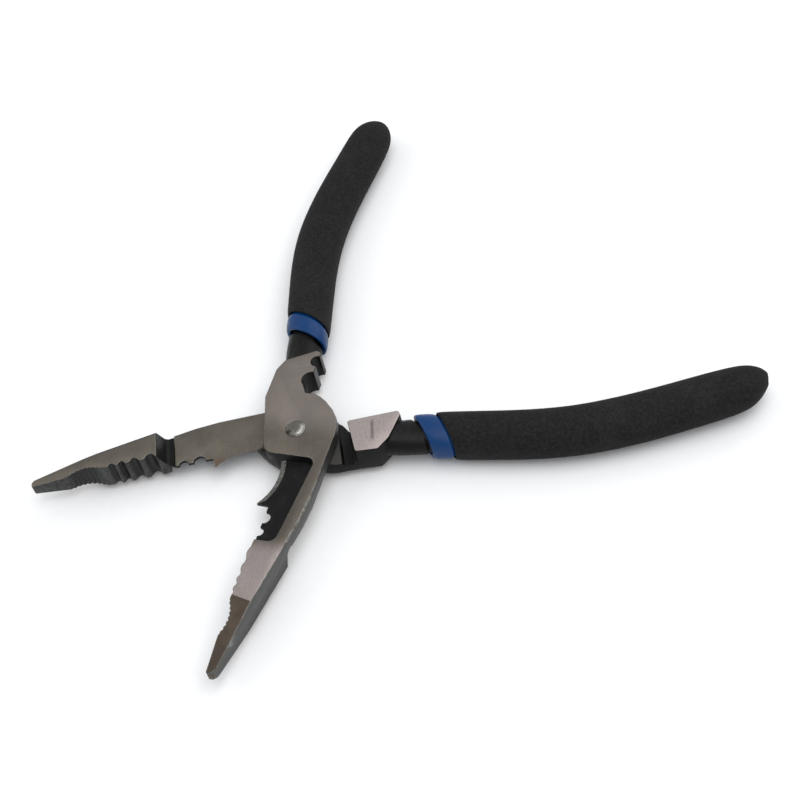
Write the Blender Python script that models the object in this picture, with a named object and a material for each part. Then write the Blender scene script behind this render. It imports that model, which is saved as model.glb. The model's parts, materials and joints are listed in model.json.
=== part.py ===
"""Electrician's needle nose pliers, lying open on one side.

Two forged levers cross at a countersunk rivet. Each lever has a long nose with crimping waves and fine
teeth, a shear blade with two stripping notches beside the joint, a tab behind the joint, and a handle tang.
A dipped sleeve with a raised collar covers the tang, and a foam grip covers the sleeve.

Every size below is in millimetres and every angle in degrees. MM turns them into metres in the meshes.
A lever is drawn in its own frame. The pivot is the origin, and the nose points to +Y with its gripping face on
X = 0. The handle points to -Y on the +X side, and Z = 0 is the shear plane where the two levers meet.
"""

import math

import bmesh
import bpy
from mathutils import Matrix, Vector

MM = 0.001

# ---------------------------------------------------------------- overall sizes
NOSE_REACH = 75.4  # pivot to nose tip
HANDLE_REACH = 129.0  # pivot to the end of the grip
JOINT_THICKNESS = 8.3  # both levers together
JOINT_RADIUS = 11.6
OPEN_ANGLE = 67.0  # between the two levers as the pliers lie

# ---------------------------------------------------------------- clearances
SHEAR_GAP = 0.3  # between the two levers' flat faces
CLOSED_GAP = 0.3  # between the two gripping faces when the pliers are shut
LAYER_GAP = 0.3  # between the tang, the sleeve and the foam
RIVET_GAP = 0.2  # round the rivet
CUTTER_MARGIN = 3.0  # how far a cutter runs past the face that it cuts

# ---------------------------------------------------------------- joint plate and rail
PLATE_TOP = 9.0  # the front plate's edge ahead of the pivot, which is also its pocket's near wall
REAR_PLATE_TOP = 12.2  # the rear plate reaches further up and falls away in a curve
REAR_PLATE_EDGE = ((7.2, 6.0), (3.75, 9.2), (-1.2, REAR_PLATE_TOP))
PLATE_CORNER_X = 6.3
PLATE_CORNER_RADIUS = 3.5
POCKET_CORNER_RADIUS = 2.2
HANDLE_OUTER_X = 12.1  # outer edge of the lever behind the pivot
PLATE_FLARE_Y = -9.5  # where the plate's slanted edge meets that outer edge
FRONT_ARC_END = 223.0  # where the joint's round edge stops, as an angle seen from the pivot
REAR_ARC_END = 253.0
FRONT_CHEEK = ((-5.6, -10.6), (-3.6, -11.9))  # carries the front round edge on to the heel
HEEL = (-2.2, -12.5)  # corner between the round edge and the tab
RAIL_OUTER = ((-11.6, 14.0), (-11.4, 22.0), (-10.8, 28.5))
RAIL_WIDTH_NEAR = 2.7  # beside the joint
RAIL_WIDTH_FAR = 3.6  # beside the nose

# ---------------------------------------------------------------- nose
NOSE_ROOT_Y = 36.8  # far wall of the pocket
NOSE_ROOT_OUTER_X = -9.6
NOSE_HEEL_X = -0.7  # gripping face ahead of the first wave
NOSE_WAIST = (-6.0, 55.0)  # where the nose begins to taper in thickness
FRONT_NOSE_ROUNDING = 0.8  # on the tapered stretch's outer edges
REAR_NOSE_ROUNDING = 0.4
TIP_WIDTH = 2.4
TIP_THICKNESS = 3.0
TIP_CHAMFER = 0.4
STEP_FOOT_Y = 34.9  # where the shear face ends
STEP_TOP_Y = 39.2  # where the back of the nose reaches full thickness
RELIEF_DEPTH = 0.6  # groove at the foot of the step
RELIEF_WIDTH = 1.7
RELIEF_NEAR_SLOPE = 0.3  # how far each wall of that groove leans
RELIEF_FAR_SLOPE = 0.9

WAVE_START_Y = 38.5  # first crest of the rear jaw's crimping waves
WAVE_PITCHES = (4.9, 4.2, 2.9, 2.8)
WAVE_CREST = 0.25  # how far the crests pass the gripping plane
WAVE_DEPTHS = (1.6, 0.8)  # of the rear jaw's grooves, beside the joint and beside the fine teeth
WAVE_LAND = 0.12  # share of a pitch that is flat on each side of a crest
WAVE_BUMP = 0.5  # height of the front jaw's rounded ribs, which fit into those grooves
POINTS_PER_WAVE = 8
PIPE_GRIP_START_Y = 55.2  # hollow with fine teeth
PIPE_GRIP_END_Y = 65.2
PIPE_GRIP_DEPTH = 1.5
FINE_TEETH = 8
FINE_TOOTH_HEIGHT = 0.4

# ---------------------------------------------------------------- blade
BLADE_THICKNESS = 1.0
BLADE_ROOT = (2.1, 9.3)
BLADE_BELLY = (1.3, 14.0)
BEAK = (4.4, 23.3)
BEAK_BACK = (4.0, 24.0)
FRONT_LAND_X = 0.4  # edge between the stripping notches
REAR_LAND_X = 1.2
NOTCH_LARGE_Y = 28.0
NOTCH_LARGE_RADIUS = 1.75
NOTCH_SMALL_Y = 32.5
NOTCH_SMALL_RADIUS = 1.3
BEVEL_WIDTH = 1.8
BEAK_BEVEL_SHARE = 0.6  # the bevel narrows to this share at the beak

# ---------------------------------------------------------------- tab behind the joint
SHOULDER_Y = -14.4
SLOT_WIDTH = 3.2  # relief slot ahead of the shoulder
SLOT_DEPTH = 1.1
SLOT_LEAN = 0.4  # how far the slot's far wall leans
TAB_INNER_X = 1.0
FRONT_TAB_END_Y = -27.6
REAR_TAB_END_Y = -28.6
TAB_INNER_RADIUS = 0.8
TAB_END_WIDTH = 1.6
TAB_END_DROP = 0.5
FRONT_TAB_OUTSIDE = ((10.6, -23.4, 2.0), (12.1, -19.6, 1.5))  # outer corners (x, y, radius)
REAR_TAB_OUTSIDE = ((9.6, -25.0, 2.0), (12.7, -21.6, 1.2))
REAR_SHOULDER_Y = -15.3  # outer end of the rear tab's shoulder, which slants a little
NEST_LARGE = (0.9, -17.5)
NEST_LARGE_RADIUS = 2.7
NEST_RAMP_Y = -12.6
NEST_SMALL = (1.2, -24.2)
NEST_SMALL_RADIUS = 1.8

# ---------------------------------------------------------------- rivet
RIVET_RADIUS = 1.9
RIVET_HEAD_RADIUS = 2.7
RIVET_SINK = 1.3  # depth of each countersink
RIVET_DOME_RADIUS = 2.3
RIVET_DOME = 0.4  # how far the front head stands out

# ---------------------------------------------------------------- handle
HANDLE_ROOT = (6.4, -20.0)
HANDLE_SLOPE = (8.7, -43.5)  # pulls the handle's first bend
BULGE_X = 17.1  # widest point of the handle's bow
BULGE_Y = -81.0
BULGE_PULL = 20.0  # how long the bow stays straight
HANDLE_END_X = 14.0
TANG_HALF_WIDTHS = (4.2, 4.2, 5.0, 4.6)  # at the root, the collar, the bulge and the end
TANG_HALF_THICKNESSES = (3.5, 3.9, 3.0, 2.8)
NECK_SWELL = 1.0  # extra half width of the bare neck ahead of the collar
NECK_SHOULDER = 0.7  # length over which that ends, just ahead of the collar
GRIP_START = 34.0  # below the pivot
COLLAR_LENGTH = 6.2
COLLAR_SKEW = 27.0  # slant of the collar's and the foam's front edges
SKEW_FADE = 22.0  # length over which the slant dies out
SLEEVE_WALL = 0.9
COLLAR_WALL = 1.3
COLLAR_SWELL = 0.6  # extra half width of the collar
COLLAR_ROUNDING = 0.5
FOAM_WALL = 0.9
FOAM_ROUNDING = 0.35
DOME_LENGTH = 9.0
RING_SPACING = 7.5
RING_SIDES = 20
SECTION_POWER = 2.3  # 2 is an ellipse, more is squarer
DOME_LIFTS = (25, 50, 72)  # angles of the rings in the grip's rounded end
ARC_STEP = 15.0  # degrees between points on a rounded corner
HOLE_SIDES = 24
RIVET_SIDES = 32

HALF = JOINT_THICKNESS / 2
SHEAR_Z = SHEAR_GAP / 2
FLOOR_Z = SHEAR_Z + BLADE_THICKNESS

STEEL = ("ground_steel", (0.36, 0.34, 0.31), 0.38, 1.0)
RIVET_STEEL = ("rivet_steel", (0.48, 0.49, 0.48), 0.35, 1.0)
BLUE_DIP = ("blue_dip", (0.02, 0.11, 0.32), 0.35, 0.0)
BLACK_FOAM = ("black_foam", (0.02, 0.02, 0.02), 0.85, 0.0)


# ---------------------------------------------------------------- outlines
def arc(centre, radius, start, end, steps=0):
    """Points on a circle from one angle to another, in degrees, both ends included."""
    count = steps or max(2, math.ceil(abs(end - start) / ARC_STEP))
    angles = [math.radians(start + (end - start) * i / count) for i in range(count + 1)]
    return [(centre[0] + radius * math.cos(a), centre[1] + radius * math.sin(a)) for a in angles]


def arc_through(first, middle, last, steps):
    """Points on the circle through three points."""
    (ax, ay), (bx, by), (cx, cy) = first, middle, last
    d = 2 * (ax * (by - cy) + bx * (cy - ay) + cx * (ay - by))
    a2, b2, c2 = ax * ax + ay * ay, bx * bx + by * by, cx * cx + cy * cy
    ux = (a2 * (by - cy) + b2 * (cy - ay) + c2 * (ay - by)) / d
    uy = (a2 * (cx - bx) + b2 * (ax - cx) + c2 * (bx - ax)) / d
    radius = math.dist((ux, uy), first)
    start = math.degrees(math.atan2(ay - uy, ax - ux))
    turn = math.degrees(math.atan2(cy - uy, cx - ux)) - start
    turn = (turn + 180) % 360 - 180
    return arc((ux, uy), radius, start, start + turn, steps)


def rounded(corners):
    """An outline from corners (x, y) or (x, y, radius), with an arc at each corner that has a radius."""
    points = []
    for i, corner in enumerate(corners):
        here = Vector(corner[:2])
        if len(corner) == 2:
            points.append(tuple(here))
            continue
        before = (Vector(corners[i - 1][:2]) - here).normalized()
        after = (Vector(corners[(i + 1) % len(corners)][:2]) - here).normalized()
        half_angle = before.angle(after) / 2
        radius = corner[2]
        centre = here + (before + after).normalized() * radius / math.sin(half_angle)
        reach = radius / math.tan(half_angle)
        first, last = here + before * reach - centre, here + after * reach - centre
        start = math.degrees(math.atan2(first.y, first.x))
        turn = math.degrees(math.atan2(last.y, last.x)) - start
        turn = (turn + 180) % 360 - 180
        points += arc(centre, radius, start, start + turn)
    return points


def wave_x(share, phase, rear_jaw):
    """X of the gripping face at a phase, 0 on a crest to 1 on the next, and a share of the waves' length."""
    swing = math.sin(math.pi * min(max((phase - WAVE_LAND) / (1 - 2 * WAVE_LAND), 0), 1))
    if rear_jaw:
        depth = WAVE_DEPTHS[0] + (WAVE_DEPTHS[1] - WAVE_DEPTHS[0]) * share
        return WAVE_CREST - depth * swing - CLOSED_GAP / 2
    return WAVE_BUMP * swing - WAVE_CREST - CLOSED_GAP / 2


def gripping_face(rear_jaw):
    """The gripping face's profile from the nose's root to its tip."""
    face_x = -CLOSED_GAP / 2
    points = [(NOSE_HEEL_X, STEP_FOOT_Y - 1)]
    crest = WAVE_START_Y
    for pitch in WAVE_PITCHES:
        for i in range(POINTS_PER_WAVE):
            phase = WAVE_LAND + (1 - 2 * WAVE_LAND) * i / (POINTS_PER_WAVE - 1)
            share = (crest - WAVE_START_Y) / sum(WAVE_PITCHES)
            points.append((wave_x(share, phase, rear_jaw), crest + pitch * phase))
        crest += pitch
    points.append((wave_x(1, 0, rear_jaw), crest))
    middle_y = (PIPE_GRIP_START_Y + PIPE_GRIP_END_Y) / 2
    hollow = arc_through(
        (face_x, PIPE_GRIP_START_Y),
        (face_x - PIPE_GRIP_DEPTH, middle_y),
        (face_x, PIPE_GRIP_END_Y),
        2 * FINE_TEETH,
    )
    for i, (x, y) in enumerate(hollow):
        is_tooth_tip = i % 2 == 0 and 0 < i < len(hollow) - 1
        points.append((x + FINE_TOOTH_HEIGHT if is_tooth_tip else x, y))
    points.append((face_x, NOSE_REACH - TIP_CHAMFER))
    points.append((face_x - TIP_CHAMFER, NOSE_REACH))
    return points


def nose_outline(rear_jaw):
    tip = [(-TIP_WIDTH + TIP_CHAMFER, NOSE_REACH), (-TIP_WIDTH, NOSE_REACH - TIP_CHAMFER)]
    outer = [NOSE_WAIST, (NOSE_ROOT_OUTER_X, NOSE_ROOT_Y - 1), (NOSE_ROOT_OUTER_X, STEP_FOOT_Y - 1)]
    return gripping_face(rear_jaw) + tip + outer


def plate_top(rear_jaw):
    return REAR_PLATE_TOP if rear_jaw else PLATE_TOP


def plate_outline(rear_jaw):
    """The half-thick joint plate with its rail, ahead of the pivot, and its neck, behind it."""
    rail = [(NOSE_ROOT_OUTER_X, NOSE_ROOT_Y - 1.5)] + list(reversed(RAIL_OUTER))
    if rear_jaw:
        round_edge = arc((0, 0), JOINT_RADIUS, 180, REAR_ARC_END)
        corner = arc_through(*REAR_PLATE_EDGE, 6)
    else:
        round_edge = arc((0, 0), JOINT_RADIUS, 180, FRONT_ARC_END) + list(FRONT_CHEEK)
        corner = [(PLATE_CORNER_X, PLATE_TOP, PLATE_CORNER_RADIUS)]
    neck_y = SHOULDER_Y - 2
    neck = [HEEL, (TAB_INNER_X, SHOULDER_Y), (TAB_INNER_X, neck_y), (HANDLE_OUTER_X, neck_y)]
    front = rounded(
        [
            (HANDLE_OUTER_X, PLATE_FLARE_Y),
            *corner,
            (-JOINT_RADIUS + RAIL_WIDTH_NEAR, plate_top(rear_jaw), POCKET_CORNER_RADIUS),
            (NOSE_ROOT_OUTER_X + RAIL_WIDTH_FAR, NOSE_ROOT_Y + 1),
            (NOSE_ROOT_OUTER_X + RAIL_WIDTH_FAR / 2, NOSE_ROOT_Y + 1),
        ]
    )
    return rail + round_edge + neck + front


def pocket_outline(rear_jaw):
    """The pocket in front of the blade. It reaches past the gripping face, so that the blade stands free."""
    near_x = -JOINT_RADIUS + RAIL_WIDTH_NEAR
    far_x = NOSE_ROOT_OUTER_X + RAIL_WIDTH_FAR
    near_y = plate_top(rear_jaw)
    return rounded(
        [
            (BEAK[0] + CUTTER_MARGIN, near_y),
            (BEAK[0] + CUTTER_MARGIN, NOSE_ROOT_Y),
            (far_x, NOSE_ROOT_Y, POCKET_CORNER_RADIUS),
            (near_x, near_y, POCKET_CORNER_RADIUS),
        ]
    )


def blade_outlines(rear_jaw):
    """The blade's outlines on the shear plane and on the pocket's floor. A bevel joins them along the edge."""
    inside_x = -JOINT_RADIUS + RAIL_WIDTH_NEAR - 1
    edge = arc_through(BLADE_ROOT, BLADE_BELLY, BEAK, 8)
    land_x = REAR_LAND_X if rear_jaw else FRONT_LAND_X
    notches = [(land_x, BEAK_BACK[1] + 0.2)]
    for y, radius in ((NOTCH_LARGE_Y, NOTCH_LARGE_RADIUS), (NOTCH_SMALL_Y, NOTCH_SMALL_RADIUS)):
        notches += arc((land_x, y), radius, 270, 90, 8)
    root = [(inside_x, PLATE_TOP - 2), (BLADE_ROOT[0], PLATE_TOP - 2)]
    end = [(land_x, STEP_FOOT_Y), (NOSE_HEEL_X - 0.5, NOSE_ROOT_Y + 1)]
    back = [(inside_x + 2, NOSE_ROOT_Y + 1)]
    low = root + edge + [BEAK_BACK] + notches + end + back
    high = list(low)
    for i in range(len(edge)):
        before = Vector(edge[max(i - 1, 0)])
        after = Vector(edge[min(i + 1, len(edge) - 1)])
        along = (after - before).normalized()
        share = 1.0 if i < len(edge) - 1 else BEAK_BEVEL_SHARE
        inward = Vector((-along.y, along.x)) * BEVEL_WIDTH * share
        high[len(root) + i] = (edge[i][0] + inward.x, edge[i][1] + inward.y)
    high[1] = (BLADE_ROOT[0] - BEVEL_WIDTH, PLATE_TOP - 2)
    high[len(root) + len(edge)] = (BEAK_BACK[0] - BEVEL_WIDTH, BEAK_BACK[1])
    return low, high


def tab_outline(rear_jaw):
    end_y = REAR_TAB_END_Y if rear_jaw else FRONT_TAB_END_Y
    return rounded(
        [
            (TAB_INNER_X, SHOULDER_Y),
            (TAB_INNER_X, end_y, TAB_INNER_RADIUS),
            (TAB_INNER_X + TAB_END_WIDTH, end_y - TAB_END_DROP),
            *(REAR_TAB_OUTSIDE if rear_jaw else FRONT_TAB_OUTSIDE),
            (HANDLE_OUTER_X, REAR_SHOULDER_Y if rear_jaw else SHOULDER_Y),
        ]
    )


def nest_outlines():
    """The two crimping nests in the front lever's tab."""
    outside = TAB_INNER_X - 2 * CUTTER_MARGIN
    large = [(outside, NEST_RAMP_Y), (TAB_INNER_X, NEST_RAMP_Y)]
    large += arc(NEST_LARGE, NEST_LARGE_RADIUS, 50, -90) + [(outside, NEST_LARGE[1] - NEST_LARGE_RADIUS)]
    small = [(outside, NEST_SMALL[1] + NEST_SMALL_RADIUS)] + arc(NEST_SMALL, NEST_SMALL_RADIUS, 90, -90)
    small += [(outside, NEST_SMALL[1] - NEST_SMALL_RADIUS)]
    return large, small


# ---------------------------------------------------------------- meshes
def new_object(name, mesh_maker):
    """An object whose mesh is filled by mesh_maker, with its faces turned out."""
    bm = bmesh.new()
    mesh_maker(bm)
    bmesh.ops.recalc_face_normals(bm, faces=bm.faces[:])
    mesh = bpy.data.meshes.new(name)
    bm.to_mesh(mesh)
    bm.free()
    obj = bpy.data.objects.new(name, mesh)
    bpy.context.scene.collection.objects.link(obj)
    return obj


def fill_prism(bm, low, high, z_low, z_high):
    """A closed body between two outlines that match point for point."""
    bottom = [bm.verts.new((x * MM, y * MM, z_low * MM)) for x, y in low]
    top = [bm.verts.new((x * MM, y * MM, z_high * MM)) for x, y in high]
    bm.faces.new(reversed(bottom))
    bm.faces.new(top)
    for i, vertex in enumerate(bottom):
        j = (i + 1) % len(bottom)
        bm.faces.new((vertex, bottom[j], top[j], top[i]))


def prism(name, outline, z_low, z_high):
    return new_object(name, lambda bm: fill_prism(bm, outline, outline, z_low, z_high))


def side_prism(name, profile, x_low, x_high):
    """A prism along X from a profile of (y, z) points."""
    turn = Matrix(((0, 0, 1), (1, 0, 0), (0, 1, 0)))

    def fill(bm):
        fill_prism(bm, profile, profile, x_low, x_high)
        bmesh.ops.transform(bm, matrix=turn.to_4x4(), verts=bm.verts[:])

    return new_object(name, fill)


def fill_loft(bm, rings):
    """A closed body through rings of points, with flat ends."""
    made = [[bm.verts.new(Vector(p) * MM) for p in ring] for ring in rings]
    bm.faces.new(made[0])
    bm.faces.new(reversed(made[-1]))
    for ring, after in zip(made, made[1:]):
        for i, vertex in enumerate(ring):
            j = (i + 1) % len(ring)
            bm.faces.new((vertex, after[i], after[j], ring[j]))


def loft(name, rings):
    return new_object(name, lambda bm: fill_loft(bm, rings))


def turned(name, profile, sides):
    """A body turned about Z from a profile of (radius, z) points, which starts and ends on the axis."""

    def fill(bm):
        points = [bm.verts.new((r * MM, 0, z * MM)) for r, z in profile]
        edges = [bm.edges.new(pair) for pair in zip(points, points[1:])]
        turn = {"axis": (0, 0, 1), "cent": (0, 0, 0), "angle": 2 * math.pi, "steps": sides}
        bmesh.ops.spin(bm, geom=points + edges, use_duplicate=False, **turn)
        bmesh.ops.remove_doubles(bm, verts=bm.verts[:], dist=0.001 * MM)

    return new_object(name, fill)


def hide(obj):
    obj.hide_render = True
    obj.display_type = "WIRE"
    return obj


def combine(obj, operation, others):
    """Adds one Boolean for each of the other objects, which then ride with this one as tools."""
    for other in others:
        other.parent = obj
        modifier = obj.modifiers.new(f"{operation.lower()}_{other.name}", "BOOLEAN")
        modifier.operation = operation
        modifier.solver = "EXACT"
        modifier.object = hide(other)


def finish(obj, parent, material, sharp_angle=30.0):
    obj.parent = parent
    obj.data.materials.append(material)
    obj.data.shade_smooth()
    obj.data.set_sharp_from_angle(angle=math.radians(sharp_angle))


def make_material(name, colour, roughness, metallic):
    material = bpy.data.materials.new(name)
    material.use_nodes = True
    shader = material.node_tree.nodes["Principled BSDF"]
    shader.inputs["Base Color"].default_value = (*colour, 1)
    shader.inputs["Roughness"].default_value = roughness
    shader.inputs["Metallic"].default_value = metallic
    return material


# ---------------------------------------------------------------- handle
def bezier(a, b, c, d, t):
    s = 1 - t
    weights = (s * s * s, 3 * s * s * t, 3 * s * t * t, t * t * t)
    return Vector([sum(w * p[k] for w, p in zip(weights, (a, b, c, d))) for k in (0, 1)])


def handle_spine():
    """The handle's centre line as (point, distance from the root) pairs, from the root to the grip's end."""
    bulge = (BULGE_X, BULGE_Y)
    end = (HANDLE_END_X, -HANDLE_REACH)
    first = (HANDLE_ROOT, HANDLE_SLOPE, (BULGE_X, BULGE_Y + BULGE_PULL), bulge)
    second = (bulge, (BULGE_X, BULGE_Y - BULGE_PULL), (HANDLE_END_X, -HANDLE_REACH + BULGE_PULL), end)
    points = [bezier(*part, i / 40) for part in (first, second) for i in range(40)] + [Vector(end)]
    spine, distance = [], 0.0
    for i, point in enumerate(points):
        distance += (point - points[i - 1]).length if i else 0.0
        spine.append((point, distance))
    return spine


SPINE = handle_spine()
SPINE_LENGTH = SPINE[-1][1]


def on_spine(distance):
    """The point and the direction of the handle's centre line at a distance from its root."""
    for (a, da), (b, db) in zip(SPINE, SPINE[1:]):
        if distance <= db:
            break
    return a + (b - a) * (distance - da) / (db - da), (b - a).normalized()


def distance_at(y):
    """The distance along the centre line at which it passes y."""
    for (a, da), (b, db) in zip(SPINE, SPINE[1:]):
        if b.y <= y:
            return da + (db - da) * (a.y - y) / (a.y - b.y)
    return SPINE_LENGTH


COLLAR_START = distance_at(-GRIP_START)
FOAM_START = COLLAR_START + COLLAR_LENGTH
SECTION_STATIONS = (0.0, FOAM_START, distance_at(BULGE_Y), SPINE_LENGTH)


def eased(values, distance):
    """A value that glides between the handle's section stations."""
    for i, (low, high) in enumerate(zip(SECTION_STATIONS, SECTION_STATIONS[1:])):
        if distance <= high or high == SPINE_LENGTH:
            t = min(max((distance - low) / (high - low), 0), 1)
            return values[i] + (values[i + 1] - values[i]) * t * t * (3 - 2 * t)


def skew_at(distance):
    """How far a ring is turned from square to the centre line."""
    t = min(max((distance - FOAM_START) / SKEW_FADE, 0), 1)
    return math.radians(COLLAR_SKEW) * (1 - t * t * (3 - 2 * t))


def ring_at(distance, grow, shrink=1.0, square=False, swell=0.0):
    """A cross-section of the handle, grown by a thickness and widened by a swell, along the centre line."""
    centre, along = on_spine(distance)
    skew = 0.0 if square else skew_at(distance)
    direction = math.atan2(along.x, -along.y) - skew
    across = Vector((math.cos(direction), math.sin(direction), 0))
    width = (eased(TANG_HALF_WIDTHS, distance) + grow + swell) * shrink / math.cos(skew)
    depth = (eased(TANG_HALF_THICKNESSES, distance) + grow) * shrink
    ring = []
    for i in range(RING_SIDES):
        angle = 2 * math.pi * i / RING_SIDES
        c, s = math.cos(angle), math.sin(angle)
        bulge = (abs(c) ** SECTION_POWER + abs(s) ** SECTION_POWER) ** (-1 / SECTION_POWER)
        ring.append(Vector((*centre, 0)) + across * (width * c * bulge) + Vector((0, 0, depth * s * bulge)))
    return ring


def tube_rings(start, end, grow, dome):
    """Rings from start to end, which is closed with a dome of the given length."""
    straight = end - dome
    count = max(2, round((straight - start) / RING_SPACING))
    rings = [ring_at(start + (straight - start) * i / count, grow) for i in range(count + 1)]
    for lift in DOME_LIFTS:
        angle = math.radians(lift)
        rings.append(ring_at(straight + dome * math.sin(angle), grow, math.cos(angle)))
    return rings


def sock(name, outer, inner):
    """A tube closed at its far end, from its outer and its inner rings, both listed from the open end."""
    return loft(name, list(reversed(inner)) + outer)


TANG_END = SPINE_LENGTH - FOAM_WALL - SLEEVE_WALL - 2 * LAYER_GAP
SLEEVE_INSIDE = LAYER_GAP
SLEEVE_OUTSIDE = SLEEVE_INSIDE + SLEEVE_WALL
FOAM_INSIDE = SLEEVE_OUTSIDE + LAYER_GAP
FOAM_OUTSIDE = FOAM_INSIDE + FOAM_WALL
MID_HEIGHT = max(HALF, max(TANG_HALF_THICKNESSES[1:]) + FOAM_OUTSIDE)  # of the shear plane over the table
INNER_DOME = DOME_LENGTH - FOAM_OUTSIDE


def tang_rings():
    """The tang, whose bare neck is wider than the stretch under the sleeve."""
    neck_end = COLLAR_START - LAYER_GAP - NECK_SHOULDER
    root = [ring_at(i * COLLAR_START / 3, 0, square=True, swell=NECK_SWELL * i / 2) for i in range(3)]
    shoulder = [ring_at(neck_end, 0, swell=NECK_SWELL), ring_at(neck_end + NECK_SHOULDER, 0)]
    return root + shoulder + tube_rings(COLLAR_START + LAYER_GAP, TANG_END, 0, INNER_DOME)


def make_sleeve(name):
    """The dipped sleeve. Its collar stands proud ahead of the foam."""
    lip = LAYER_GAP
    collar = COLLAR_WALL + SLEEVE_INSIDE
    outer = [
        ring_at(COLLAR_START, collar - COLLAR_ROUNDING, swell=COLLAR_SWELL),
        ring_at(COLLAR_START + COLLAR_ROUNDING, collar, swell=COLLAR_SWELL),
        ring_at(FOAM_START - lip, collar, swell=COLLAR_SWELL),
        ring_at(FOAM_START - lip + 0.01, SLEEVE_OUTSIDE),
    ]
    dome = INNER_DOME + SLEEVE_OUTSIDE
    outer += tube_rings(FOAM_START + 1, TANG_END + SLEEVE_OUTSIDE, SLEEVE_OUTSIDE, dome)
    inner = tube_rings(COLLAR_START, TANG_END + SLEEVE_INSIDE, SLEEVE_INSIDE, INNER_DOME + SLEEVE_INSIDE)
    return sock(name, outer, inner)


def make_foam(name):
    """The foam grip, which butts against the sleeve's collar."""
    lip = [ring_at(FOAM_START, FOAM_OUTSIDE - FOAM_ROUNDING)]
    outer = lip + tube_rings(FOAM_START + 0.8, SPINE_LENGTH, FOAM_OUTSIDE, DOME_LENGTH)
    inner = tube_rings(FOAM_START, TANG_END + FOAM_INSIDE, FOAM_INSIDE, INNER_DOME + FOAM_INSIDE)
    return sock(name, outer, inner)


# ---------------------------------------------------------------- lever and rivet
def taper_nose(obj, rounding):
    """Thins the nose towards its tip, on both faces, and rounds the outer edges of that stretch."""
    bm = bmesh.new()
    bm.from_mesh(obj.data)
    start = NOSE_WAIST[1] * MM
    everything = bm.verts[:] + bm.edges[:] + bm.faces[:]
    bmesh.ops.bisect_plane(bm, geom=everything, plane_co=(0, start, 0), plane_no=(0, 1, 0))
    slope = (JOINT_THICKNESS - TIP_THICKNESS) / 2 / (NOSE_REACH - NOSE_WAIST[1])
    for vertex in bm.verts:
        if vertex.co.y > start:
            vertex.co.z -= math.copysign(slope * (vertex.co.y - start), vertex.co.z)
    outer_x = (TIP_CHAMFER - TIP_WIDTH) * MM
    outer = [v for v in bm.verts if v.co.y >= start and v.co.x < outer_x]
    ridges = []
    for edge in bm.edges:
        a, b = edge.verts
        if a in outer and b in outer and a.co.z * b.co.z > 0 and max(a.co.y, b.co.y) > start:
            ridges.append(edge)
    bmesh.ops.bevel(bm, geom=ridges, offset=rounding * MM, segments=2, profile=0.5, affect="EDGES")
    bm.to_mesh(obj.data)
    bm.free()


def step_profile():
    """The space behind the nose's root, where the other lever's plate turns, as (y, z)."""
    below = -HALF - CUTTER_MARGIN
    relief = SHEAR_Z + RELIEF_DEPTH
    return [
        (STEP_FOOT_Y - 2 * CUTTER_MARGIN, below),
        (STEP_TOP_Y + 1, below),
        (STEP_TOP_Y, -HALF),
        (STEP_FOOT_Y + RELIEF_WIDTH + RELIEF_FAR_SLOPE, 0),
        (STEP_FOOT_Y + RELIEF_WIDTH, relief),
        (STEP_FOOT_Y + RELIEF_NEAR_SLOPE, relief),
        (STEP_FOOT_Y, SHEAR_Z),
        (STEP_FOOT_Y - 2 * CUTTER_MARGIN, SHEAR_Z),
    ]


def slot_profile():
    """The relief slot ahead of the tab's shoulder, as (y, z)."""
    far = SHOULDER_Y + SLOT_WIDTH
    return [
        (SHOULDER_Y, -HALF - CUTTER_MARGIN),
        (far + CUTTER_MARGIN, -HALF - CUTTER_MARGIN),
        (far + CUTTER_MARGIN, SHEAR_Z),
        (far, SHEAR_Z),
        (far - SLOT_LEAN, SHEAR_Z + SLOT_DEPTH),
        (SHOULDER_Y, SHEAR_Z + SLOT_DEPTH),
    ]


def rivet_hole(name):
    """A through hole with a countersink on the lever's outer face."""
    shaft = RIVET_RADIUS + RIVET_GAP
    head = RIVET_HEAD_RADIUS + RIVET_GAP
    profile = [(0, -CUTTER_MARGIN), (shaft, -CUTTER_MARGIN), (shaft, HALF - RIVET_SINK), (head, HALF)]
    return turned(name, profile + [(head, HALF + CUTTER_MARGIN), (0, HALF + CUTTER_MARGIN)], HOLE_SIDES)


def make_lever(name, rear_jaw):
    """One forging: joint plate, nose, blade, tab and tang in one piece."""
    lever = prism(name, plate_outline(rear_jaw), SHEAR_Z, HALF)
    nose = prism(f"{name}_nose", nose_outline(rear_jaw), -HALF, HALF)
    taper_nose(nose, REAR_NOSE_ROUNDING if rear_jaw else FRONT_NOSE_ROUNDING)
    tab = prism(f"{name}_tab", tab_outline(rear_jaw), -HALF, HALF)
    combine(lever, "UNION", [nose, tab])
    margin_x = HANDLE_OUTER_X + CUTTER_MARGIN
    step = side_prism(f"{name}_step", step_profile(), -margin_x, margin_x)
    slot = side_prism(f"{name}_slot", slot_profile(), -margin_x, margin_x)
    pocket = prism(f"{name}_pocket", pocket_outline(rear_jaw), FLOOR_Z, HALF + CUTTER_MARGIN)
    combine(lever, "DIFFERENCE", [step, slot, pocket])
    low, high = blade_outlines(rear_jaw)
    blade = new_object(f"{name}_blade", lambda bm: fill_prism(bm, low, high, SHEAR_Z, FLOOR_Z))
    combine(blade, "DIFFERENCE", [step])
    tang = loft(f"{name}_tang", tang_rings())
    combine(lever, "UNION", [blade, tang])
    combine(lever, "DIFFERENCE", [rivet_hole(f"{name}_hole")])
    if not rear_jaw:
        depth = HALF + CUTTER_MARGIN
        nests = [prism(f"{name}_nest_{i}", line, -depth, depth) for i, line in enumerate(nest_outlines())]
        combine(lever, "DIFFERENCE", nests)
    return lever


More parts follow.
